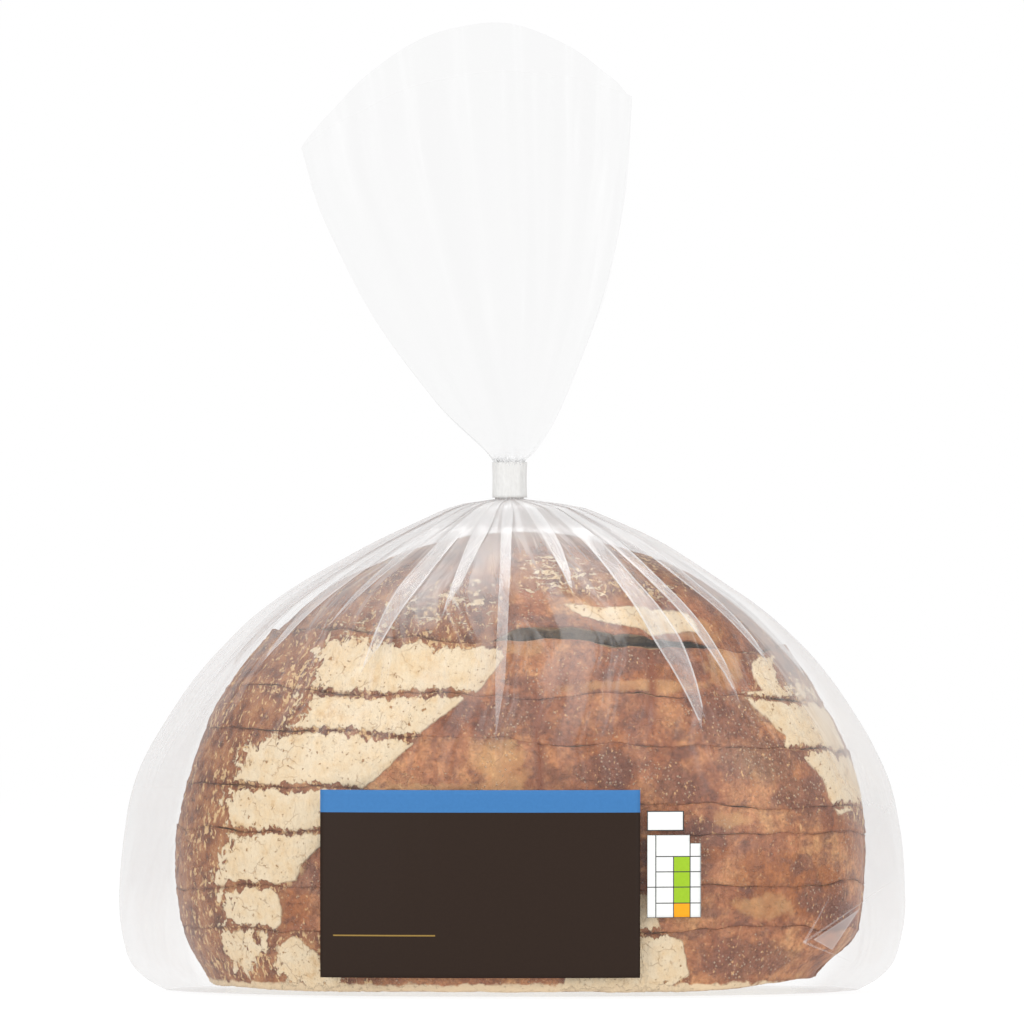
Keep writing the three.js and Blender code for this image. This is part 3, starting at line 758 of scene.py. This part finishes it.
def shape_film():
    """The film's points, in rings from the base to the mouth, and what each point notes."""
    z_rows = np.concatenate(
        [
            np.full(BASE_ROWS, FILM_BASE),
            np.linspace(FILM_BASE, NECK_BOTTOM, BODY_ROWS + 1)[:-1],
            np.linspace(NECK_BOTTOM, NECK_TOP, NECK_ROWS + 1)[:-1],
            np.full(FAN_ROWS, NECK_TOP),
        ]
    )
    base_part = np.ones(len(z_rows))
    base_part[:BASE_ROWS] = np.linspace(0, 1, BASE_ROWS + 1)[:-1]
    fan_part = np.zeros(len(z_rows))
    fan_part[-FAN_ROWS:] = np.linspace(0, 1, FAN_ROWS) ** 1.25
    in_fan = np.zeros(len(z_rows), bool)
    in_fan[-FAN_ROWS:] = True

    widths = through(BAG_HALF_WIDTH)
    half_width = np.interp(z_rows, widths[:, 0], widths[:, 1])
    half_width = np.where(z_rows >= NECK_BOTTOM, NECK_HALF_WIDTH, half_width)
    left, right = through(FAN_LEFT), through(FAN_RIGHT)
    known = np.linspace(0, 1, len(left))
    edges = [np.interp(fan_part, known, side[:, axis]) for side in (left, right) for axis in (0, 1)]
    left_x, left_z, right_x, right_z = edges
    fan_half = (right_x - left_x) / 2
    radius = np.where(in_fan, fan_half, half_width)

    halves = [
        pleat_half(FRONT_PLEATS, z_rows, radius, 0.0, fan_part),
        pleat_half(BACK_PLEATS, z_rows, radius, math.pi, fan_part),
    ]
    even = np.linspace(0, math.pi, halves[0][0].shape[1] + 1)[:-1]
    spread_out = smooth(8, 55, z_rows)[:, None]
    turn = np.hstack(
        [
            half[0] * spread_out + (even + start)[None, :] * (1 - spread_out)
            for half, start in zip(halves, (0.0, math.pi))
        ]
    )
    lift, veil, edge = (np.hstack([half[n] for half in halves]) for n in (1, 2, 3))
    share = np.hstack([halves[0][4] / 2, 0.5 + halves[1][4] / 2])

    cos, sin = np.cos(turn), np.sin(turn)
    front = sin >= 0
    z = np.repeat(z_rows[:, None], turn.shape[1], axis=1)
    rise = np.maximum(0, (NECK_BOTTOM - z) / (NECK_BOTTOM - TENT_FOOT))
    gather = smooth(TENT_FOOT, NECK_BOTTOM, z)
    tented = z > TENT_FOOT
    reach = np.where(front, rise**0.8, rise**0.55)
    depth = np.where(
        tented,
        NECK_HALF_DEPTH + TENT_SPREAD * reach,
        loaf_depth(LOAF_CENTRE.x, z, front, FILM_SLACK),
    )
    power = np.where(front, 2.6, 6.0) * (1 - gather) + 2 * gather
    root = np.where(front, 0.75, 0.6) * (1 - gather) + 0.5 * gather
    lens = depth * (1 - np.abs(cos) ** power) ** root
    middle_x = gather * NECK_X
    x = middle_x + half_width[:, None] * cos
    wrapped = loaf_depth(x, z, front, FILM_SLACK)
    out = 0.5 * (lens + wrapped + np.hypot(lens - wrapped, 1.0 * smooth(0, 6, lens)))
    out = np.where(z >= NECK_BOTTOM, NECK_HALF_DEPTH * np.abs(sin), out)
    loose = smooth(1.0, 14.0, np.where(wrapped > 0.5, lens - wrapped, 20.0))
    loose = np.maximum(loose, smooth(0.80, 0.93, np.abs(cos)) * smooth(100, 70, z))
    shift = smooth(SHIFT_FOOT, NECK_BOTTOM, z)
    middle_y = LOAF_CENTRE.y * (1 - shift) + NECK_Y * shift
    y = middle_y + np.where(front, -1, 1) * out

    # The fan above the neck, whose rim arches higher at the back.
    part = fan_part[:, None]
    side = (1 + cos) / 2
    arch = np.where(front, FAN_FRONT_ARCH, FAN_BACK_ARCH)
    fan_x = left_x[:, None] * (1 - side) + right_x[:, None] * side
    fan_z = left_z[:, None] * (1 - side) + right_z[:, None] * side
    fan_z = fan_z + arch * part**1.5 * (1 - cos**2)
    fan_depth = NECK_HALF_DEPTH * (1 - part) + FAN_HALF_DEPTH * part
    fan_y = NECK_Y - fan_depth * sin
    fan_row = in_fan[:, None]
    x = np.where(fan_row, fan_x, x)
    y = np.where(fan_row, fan_y, y)
    z = np.where(fan_row, fan_z, z)

    # Ripples: fine and radial towards the neck, long and soft elsewhere.
    film_x = np.cos(2 * math.pi * share) * 86
    film_y = np.sin(2 * math.pi * share) * 86
    film_z = np.cumsum(
        np.concatenate([[0], np.maximum(1.0, np.hypot(np.diff(z_rows), np.diff(half_width)))])
    )
    film_z = np.where(in_fan, film_z[-FAN_ROWS] + fan_part * 100, film_z)
    film_z = np.repeat(film_z[:, None], turn.shape[1], axis=1)
    places = np.stack([film_x, film_y, film_z], axis=-1).reshape(-1, 3)
    grid = z.shape
    ripple = lumps(places, (5, 5, 60), 4.4).reshape(grid)
    swell = lumps(places, (22, 22, 45), 8.1).reshape(grid)
    crush = lumps(places, (9, 9, 14), 2.2).reshape(grid)
    low_z = np.where(fan_row, 200, z)
    near_neck = smooth(96, 130, low_z) * smooth(141, 137, low_z)
    push = ripple * (0.15 + 0.65 * near_neck)
    push += 0.9 * loose * (0.7 * swell + np.where(fan_row, 0.4, 0.5) * crush)
    fan_wave = lumps(places, (30, 30, 120), 5.5).reshape(grid)
    fan_fold = lumps(places, (11, 11, 90), 6.6).reshape(grid)
    fan_push = smooth(0.04, 0.4, part) * (12 * fan_wave + 0.5 * fan_fold) * sin**2
    push += np.where(fan_row, fan_push, 0)
    push += lift
    normal_x = cos / np.where(fan_row, fan_half[:, None], half_width[:, None])
    normal_y = -sin / np.where(fan_row, fan_depth, np.maximum(depth, 3))
    length = np.hypot(normal_x, normal_y)
    x = x + 4.5 * np.maximum(cos, 0) * smooth(114, 132, low_z) * smooth(140.2, 137.5, low_z)
    seat = base_part[:, None]
    push *= smooth(0, 6, z) + (low_z >= 200)
    x = x + push * normal_x / length * 0.6
    y = y + push * normal_y / length
    x *= 0.97 + 0.03 * smooth(0, 1, seat)
    y = LOAF_CENTRE.y + (y - LOAF_CENTRE.y) * np.where(seat < 1, seat, 1)
    strips = np.minimum(1, 1.5 * veil)
    veil = 0.42 * veil + 1.25 * smooth(117, 134, low_z) * smooth(160, 142, low_z)
    clouded = np.zeros_like(veil)
    for middle, width, low, high, strength in CLOUDED:
        band = np.exp(-(((turn - math.radians(middle)) / math.radians(width)) ** 2))
        clouded += strength * band * smooth(low, high, z)
    clouded *= smooth(140, 128, z) * (1 - 0.8 * strips)
    veil = veil + np.where(fan_row, 0.0, clouded)
    pull = np.where(fan_row, smooth(0.12, 0.0, part), smooth(48, 108, z))
    veil = np.where(fan_row, 1.2 * smooth(0.2, 0.0, part), veil)
    # painted light: the fan's front layer is made clearer and its back layer darker than the same
    # film elsewhere, standing in for the front layer's sheen
    fan_painted_tone = np.where(front, 0.992, 0.952)
    clearness = np.where(fan_row, fan_painted_tone, 0.968) * (1 - pull) + 0.986 * pull
    loose = np.where(fan_row, 0.0, loose)
    edge = np.where(z < 0.5, 0.1, edge)  # the seal along the bottom shows as a crease does
    return np.stack([x, y, z], axis=-1), places, veil, edge, loose, pull, clearness


film_points, film_places, veil, fold_edge, loose, pull, clearness = shape_film()
film_rows, film_columns = veil.shape
bm = bmesh.new()
bmesh.ops.create_grid(bm, x_segments=film_columns, y_segments=film_rows - 1, size=1)
film_mesh = mesh_of(bm, "bag")
flat = points_of(film_mesh)
column = np.rint((flat[:, 0] + 1) / 2 * film_columns).astype(int) % film_columns
row = np.rint((flat[:, 1] + 1) / 2 * (film_rows - 1)).astype(int)
film_mesh.vertices.foreach_set("co", (film_points[row, column] * MM).ravel())
note(film_mesh, veil=veil[row, column], fold_edge=fold_edge[row, column])
note(film_mesh, loose=loose[row, column], pull=pull[row, column])
note(film_mesh, clearness=clearness[row, column])
layer = film_mesh.attributes.new("around", "FLOAT_VECTOR", "POINT")
places = film_places.reshape(film_rows, film_columns, 3)[row, column]
layer.data.foreach_set("vector", places.astype(np.float32).ravel())
bm = bmesh.new()
bm.from_mesh(film_mesh)
bmesh.ops.remove_doubles(bm, verts=bm.verts[:], dist=1e-7)
bmesh.ops.recalc_face_normals(bm, faces=bm.faces[:])
for crease in bm.edges:
    crease.smooth = crease.calc_face_angle(0) < 0.9
bm.to_mesh(film_mesh)
bm.free()


def facet(tree, x, z, corners):
    """How far inside a small triangle of doubled film a place is, in millimetres."""
    inside = 1e3
    for (ax, az), (bx, bz) in zip(corners, corners[1:] + corners[:1]):
        length = math.hypot(bx - ax, bz - az)
        nx, nz = (az - bz) / length, (bx - ax) / length
        off = scaled(tree, z, nz, -(ax * nx + az * nz))
        inside = calc(tree, "MINIMUM", inside, scaled(tree, x, nx, off))
    return inside


def mixed(tree, share, first, second):
    inputs = {0: share, 1: first.outputs[0], 2: second.outputs[0]}
    return put(tree, "ShaderNodeMixShader", inputs)


FILM_MILK = (0.88, 0.88, 0.882, 1)


def film_material():
    material, tree = fresh_material("clear_film")
    around = put(tree, "ShaderNodeAttribute", attribute_name="around").outputs["Vector"]
    veil, edge, loose, pull = (noted(tree, n) for n in ("veil", "fold_edge", "loose", "pull"))
    streak = grain(tree, around, 0.33, 4, (1, 1, 0.07), 0.6)
    cloud = grain(tree, around, 0.05, 3, (1, 1, 0.5))
    thin_streak = span(tree, streak, 0.5, 0.75)
    # partly painted highlight: milky streaks along the pull stand for film drawn thin and for
    # highlights on its fine wrinkles
    wisps_and_highlights = span(tree, grain(tree, around, 0.10, 5, (1, 1, 0.13), 0.9), 0.50, 0.60)
    drawn = times(tree, pull, calc(tree, "MAXIMUM", wisps_and_highlights, thin_streak))
    stirred = scaled(tree, calc(tree, "MAXIMUM", loose, pull), 0.7, 0.3)

    # Haze: how much of the milky film shows in place of the clear, from each cause in turn.
    haze = 0.035
    for cause, strength in (
        (times(tree, thin_streak, stirred), 0.04),
        (drawn, 0.15),
        (loose, 0.105),
        (times(tree, loose, cloud), 0.08),
        (veil, scaled(tree, streak, 0.22, 0.11)),
        # painted highlight: film is made milkier along each fold's edge, standing for the bright
        # line where light catches a fold; the bottom seal gets the same line, partly its real
        # thickened film
        (span(tree, edge, 0.5, 0.05), 0.22),
    ):
        haze = scaled(tree, cause, strength, haze)
    place = put(tree, "ShaderNodeSeparateXYZ", {0: millimetres(tree)}).outputs
    for milkiness, corners in TUCKS:
        inside = facet(tree, place[0], place[2], corners)
        # painted highlight: the rim of each tuck, and the thin tucks that stand for creases, are
        # made milkier as light catching a crease
        rim = span(tree, calc(tree, "ABSOLUTE", inside), 0.3, 0.0)
        tuck = times(tree, span(tree, inside, -0.2, 0.2), milkiness)
        tuck = scaled(tree, rim, 0.15, tuck)
        in_front = calc(tree, "LESS_THAN", place[1], LOAF_CENTRE.y)
        haze = scaled(tree, tuck, in_front, haze)
    haze = calc(tree, "MINIMUM", haze, 0.46)

    normal = bumped(tree, times(tree, streak, stirred), 0.2, 0.0005)
    clear = put(tree, "ShaderNodeBsdfTransparent", {"Color": noted(tree, "clearness")})
    inputs = {"Base Color": FILM_MILK, "Roughness": 0.4, "Normal": normal}
    milky = put(tree, "ShaderNodeBsdfPrincipled", inputs)
    glow = put(tree, "ShaderNodeBsdfTranslucent", {"Color": FILM_MILK, "Normal": normal})
    body = mixed(tree, haze, clear, mixed(tree, 0.25, milky, glow))
    inputs = {"Color": (1, 1, 1, 1), "Roughness": 0.2, "Normal": normal}
    gloss = put(tree, "ShaderNodeBsdfGlossy", inputs)
    sheen = put(tree, "ShaderNodeFresnel", {"IOR": 1.3, "Normal": normal}).outputs[0]
    sheen = times(tree, calc(tree, "MINIMUM", sheen, 0.06), stirred)
    both = mixed(tree, sheen, body, gloss)
    put(tree, "ShaderNodeOutputMaterial", {"Surface": both.outputs[0]})
    return material


bag = object_of(film_mesh, "bag")
film_mesh.materials.append(film_material())
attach(bag, "root")
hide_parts("bag_film")

# --------------------
# The tape: white closure tape, wound once round the gathered neck and pressed into its ridges.

TAPE_BOTTOM, TAPE_TOP = 140.6, 150.7
TAPE_GAP, TAPE_THICKNESS = 0.72, 0.35
TAPE_WAIST, TAPE_CRUSH = 0.12, 0.14
TAPE_SIDES, TAPE_LEVELS = 96, 14


def thicken(piece, thickness):
    wall = piece.modifiers.new("wall", "SOLIDIFY")
    wall.thickness = thickness * MM
    wall.offset = 1


bm = bmesh.new()
bmesh.ops.create_circle(bm, segments=TAPE_SIDES, radius=1)
ring = bm.edges[:]
for level in range(TAPE_LEVELS):
    grown = bmesh.ops.extrude_edge_only(bm, edges=ring)["geom"]
    ring = [e for e in grown if isinstance(e, bmesh.types.BMEdge)]
    bmesh.ops.translate(
        bm, vec=(0, 0, 1), verts=[v for v in grown if isinstance(v, bmesh.types.BMVert)]
    )
for v in bm.verts:
    angle = math.atan2(v.co.y, v.co.x)
    level = v.co.z / TAPE_LEVELS
    pinch = noise.noise(Vector((2.2 * math.cos(angle), 2.2 * math.sin(angle), 0.8 * level)))
    pinch += 0.5 * noise.noise(Vector((5 * math.cos(angle), 5 * math.sin(angle), 2.5 * level)))
    waist = TAPE_WAIST * math.sin(math.pi * level)
    grow = TAPE_GAP + TAPE_CRUSH * pinch - waist
    v.co = Vector(
        (
            NECK_X + (NECK_HALF_WIDTH + grow) * math.cos(angle),
            NECK_Y + (NECK_HALF_DEPTH + grow) * math.sin(angle),
            TAPE_BOTTOM + (TAPE_TOP - TAPE_BOTTOM) * level,
        )
    )
bmesh.ops.recalc_face_normals(bm, faces=bm.faces[:])
bmesh.ops.transform(bm, matrix=Matrix.Scale(MM, 4), verts=bm.verts[:])
tape_mesh = mesh_of(bm, "tape")
tape = object_of(tape_mesh, "tape")
thicken(tape, TAPE_THICKNESS)

material, tree = fresh_material("closure_tape")
weave = grain(tree, millimetres(tree), 1.6, 3, (1, 1, 0.3))
shade = ramp(tree, weave, [(0.3, (0.64, 0.635, 0.62)), (0.7, (0.72, 0.715, 0.70))])
surfaced(tree, shade, 0.45, bumped(tree, weave, 0.4, 0.0003))
tape_mesh.materials.append(material)
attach(tape, "root")
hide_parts("neck_tape")

# --------------------
# The labels: printed paper stuck to the outside of the film. A dark brown one with a blue band
# and a thin gold rule, and beside it a small white table of coloured cells in two parts.

LABEL_STAND = 0.3  # how far the label's back stands off the film
LABEL_THICKNESS = 0.14
FRONT_LABEL = (-53.9, 36.0, 5.6, 58.4)  # left, right, bottom and top, as for the others
SIDE_LABEL = (37.9, 53.1, 22.5, 45.8)
SIDE_LABEL_TOP = (37.9, 48.3, 46.9, 52.5)
BAND_HEIGHT = 6.3
film_surface = BVHTree.FromPolygons(
    [v.co for v in film_mesh.vertices], [p.vertices for p in film_mesh.polygons]
)


def film_front(x, z):
    """Where the front of the film is at x and z, taken over a small area so that folds even out."""
    hits = [
        film_surface.ray_cast(Vector((x + dx, -200, z + dz)) * MM, Vector((0, 1, 0)))[0].y / MM
        for dx, dz in ((0, 0), (-1.5, 0), (1.5, 0), (0, -1.5), (0, 1.5))
    ]
    return min(hits)


def label(name, node, box, cells, material, notch=None):
    left, right, bottom, top = box
    bm = bmesh.new()
    bmesh.ops.create_grid(bm, x_segments=cells[0], y_segments=cells[1], size=1)
    if notch:
        missing = [
            face
            for face in bm.faces
            if (face.calc_center_median().x + 1) / 2 > notch[0]
            and (face.calc_center_median().y + 1) / 2 > notch[1]
        ]
        bmesh.ops.delete(bm, geom=missing, context="FACES")
    for v in bm.verts:
        x = (left + right) / 2 + v.co.x * (right - left) / 2
        z = (bottom + top) / 2 + v.co.y * (top - bottom) / 2
        v.co = Vector((x, film_front(x, z) - LABEL_STAND, z)) * MM
    bmesh.ops.recalc_face_normals(bm, faces=bm.faces[:])
    if bm.faces[0].normal.y > 0:
        bmesh.ops.reverse_faces(bm, faces=bm.faces[:])
    mesh = mesh_of(bm, name)
    paper = object_of(mesh, name)
    thicken(paper, LABEL_THICKNESS)
    mesh.materials.append(material)
    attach(paper, "root")
    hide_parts(node)


def printed(name, areas, ground, roughness):
    """Paper printed with plain areas: each is left, right, bottom, top and colour, in order."""
    material, tree = fresh_material(name)
    where = millimetres(tree)
    place = put(tree, "ShaderNodeSeparateXYZ", {0: where}).outputs
    colour = (*ground, 1)
    for left, right, bottom, top, ink in areas:
        inside = 1.0
        for along, low, high in ((place[0], left, right), (place[2], bottom, top)):
            inside = times(tree, inside, calc(tree, "GREATER_THAN", along, low))
            inside = times(tree, inside, calc(tree, "LESS_THAN", along, high))
        colour = tint(tree, inside, colour, (*ink, 1))
    fibre = grain(tree, where, 1.1, 4)
    colour = mottled(tree, colour, fibre, 0.35, 0.3, 0.7, (0.80, 0.80, 0.80))
    surfaced(tree, colour, roughness, bumped(tree, fibre, 0.15, 0.0002), 0.15)
    return material


BROWN, BLUE, GOLD = (0.0255, 0.0140, 0.0090), (0.049, 0.182, 0.425), (0.30, 0.19, 0.05)
WHITE, LINE = (0.82, 0.83, 0.81), (0.045, 0.045, 0.045)
GREEN, AMBER = (0.325, 0.533, 0.026), (0.913, 0.376, 0.016)
RULE = (-50.3, -21.6, 17.3, 17.7)
front_print = printed(
    "dark_label",
    [(-60, 60, FRONT_LABEL[3] - BAND_HEIGHT, 70, BLUE), (*RULE, GOLD)],
    BROWN,
    0.6,
)
label("front_label_paper", "front_label", FRONT_LABEL, (60, 36), front_print)

LINE_WIDTH = 0.28
left, right, bottom, top = SIDE_LABEL
SIDE_NOTCH = (0.8, 0.9)  # the last column stops short of the top, as shares of width and height
last = left + SIDE_NOTCH[0] * (right - left)
last_top = bottom + SIDE_NOTCH[1] * (top - bottom)
CELL_ROWS = (22.5, 26.6, 31.1, 35.4, 39.7)
cells = [(left, 40.4, bottom, 31.1, WHITE), (left, 40.4, 31.1, top, WHITE)]
cells += [(40.4, last, CELL_ROWS[-1], top, WHITE), (last, right, CELL_ROWS[-1], last_top, WHITE)]
for low_row, high_row, ink in zip(CELL_ROWS, CELL_ROWS[1:], (AMBER, GREEN, GREEN, GREEN)):
    cells += [(40.4, 45.4, low_row, high_row, WHITE), (45.4, last, low_row, high_row, ink)]
    cells.append((last, right, low_row, high_row, WHITE))
half = LINE_WIDTH / 2
areas = [(left, right, bottom, top, LINE)]
areas += [(a + half, b - half, c + half, d - half, ink) for a, b, c, d, ink in cells]
side_print = printed("small_table", areas, WHITE, 0.55)
label(
    "side_label_paper", "side_label", SIDE_LABEL, (15, 20), side_print, SIDE_NOTCH
)
left, right, bottom, top = SIDE_LABEL_TOP
areas = [
    (left - 1, right + 1, bottom - 1, top + 1, LINE),
    (left + LINE_WIDTH, right - LINE_WIDTH, bottom + LINE_WIDTH, top - LINE_WIDTH, WHITE),
]
top_print = printed("small_table_top", areas, WHITE, 0.55)
label("side_label_top_paper", "side_label_top", SIDE_LABEL_TOP, (10, 8), top_print)

# --------------------
# The stage: a plain white table, soft lights at both sides and above, and a camera far
# off and level, as a catalogue shows a packet.

CAMERA_DISTANCE = 4.0
CAMERA_HEIGHT = 0.1365
CAMERA_LENS, CAMERA_SENSOR = 493.4, 36.0
TABLE_REACH, TABLE_GAP = 3.0, 0.0004


def stage_material(name, white, glow):
    material, tree = fresh_material(name)
    coat = put(tree, "ShaderNodeBsdfDiffuse", {"Color": (white, white, white, 1)})
    light = put(tree, "ShaderNodeEmission", {"Color": (1, 1, 1, 1), "Strength": glow})
    both = put(tree, "ShaderNodeAddShader", {0: coat.outputs[0], 1: light.outputs[0]})
    put(tree, "ShaderNodeOutputMaterial", {"Surface": both.outputs[0]})
    return material


bm = bmesh.new()
bmesh.ops.create_grid(bm, x_segments=1, y_segments=1, size=TABLE_REACH)
bmesh.ops.translate(bm, vec=(0, 0, -TABLE_GAP), verts=bm.verts[:])
table_mesh = mesh_of(bm, "table_top")
table_mesh.materials.append(stage_material("white_table", 0.15, 0.89))
table_top = object_of(table_mesh, "table_top")


def soft_light(name, place, target, size, power):
    data = bpy.data.lights.new(name, "AREA")
    data.shape = "RECTANGLE"
    data.size, data.size_y = size
    data.energy = power
    light = object_of(data, name)
    light.location = place
    light.rotation_mode = "QUATERNION"
    light.rotation_quaternion = (Vector(target) - Vector(place)).to_track_quat("-Z", "Y")


soft_light("front_left", (-0.9, -1.1, 0.5), (0, 0, 0.1), (0.7, 0.9), 8)
soft_light("front_right", (1.1, -0.9, 0.35), (0, 0, 0.08), (0.6, 0.7), 5.5)
soft_light("above", (0, 0.05, 1.2), (0, 0, 0.1), (0.9, 0.6), 6.5)

world = bpy.data.worlds.new("white_room")
world.use_nodes = True
bpy.context.scene.world = world
sky = world.node_tree
sky.nodes.clear()
seen = put(sky, "ShaderNodeBackground", {"Color": (1, 1, 1, 1), "Strength": 1.0})
lit = put(sky, "ShaderNodeBackground", {"Color": (1, 1, 1, 1), "Strength": 0.72})
path = put(sky, "ShaderNodeLightPath")
air = mixed(sky, path.outputs["Is Camera Ray"], lit, seen)
put(sky, "ShaderNodeOutputWorld", {"Surface": air.outputs[0]})

scene = bpy.context.scene
scene.view_settings.view_transform = "Standard"
scene.cycles.transparent_max_bounces = 64
camera_data = bpy.data.cameras.new("camera")
camera_data.sensor_width = CAMERA_SENSOR
camera_data.lens = CAMERA_LENS
camera_data.clip_end = 20
camera = object_of(camera_data, "camera")
camera.location = (0, LOAF_CENTRE.y * MM - CAMERA_DISTANCE, CAMERA_HEIGHT)
camera.rotation_euler = (math.pi / 2, 0, 0)
scene.camera = camera
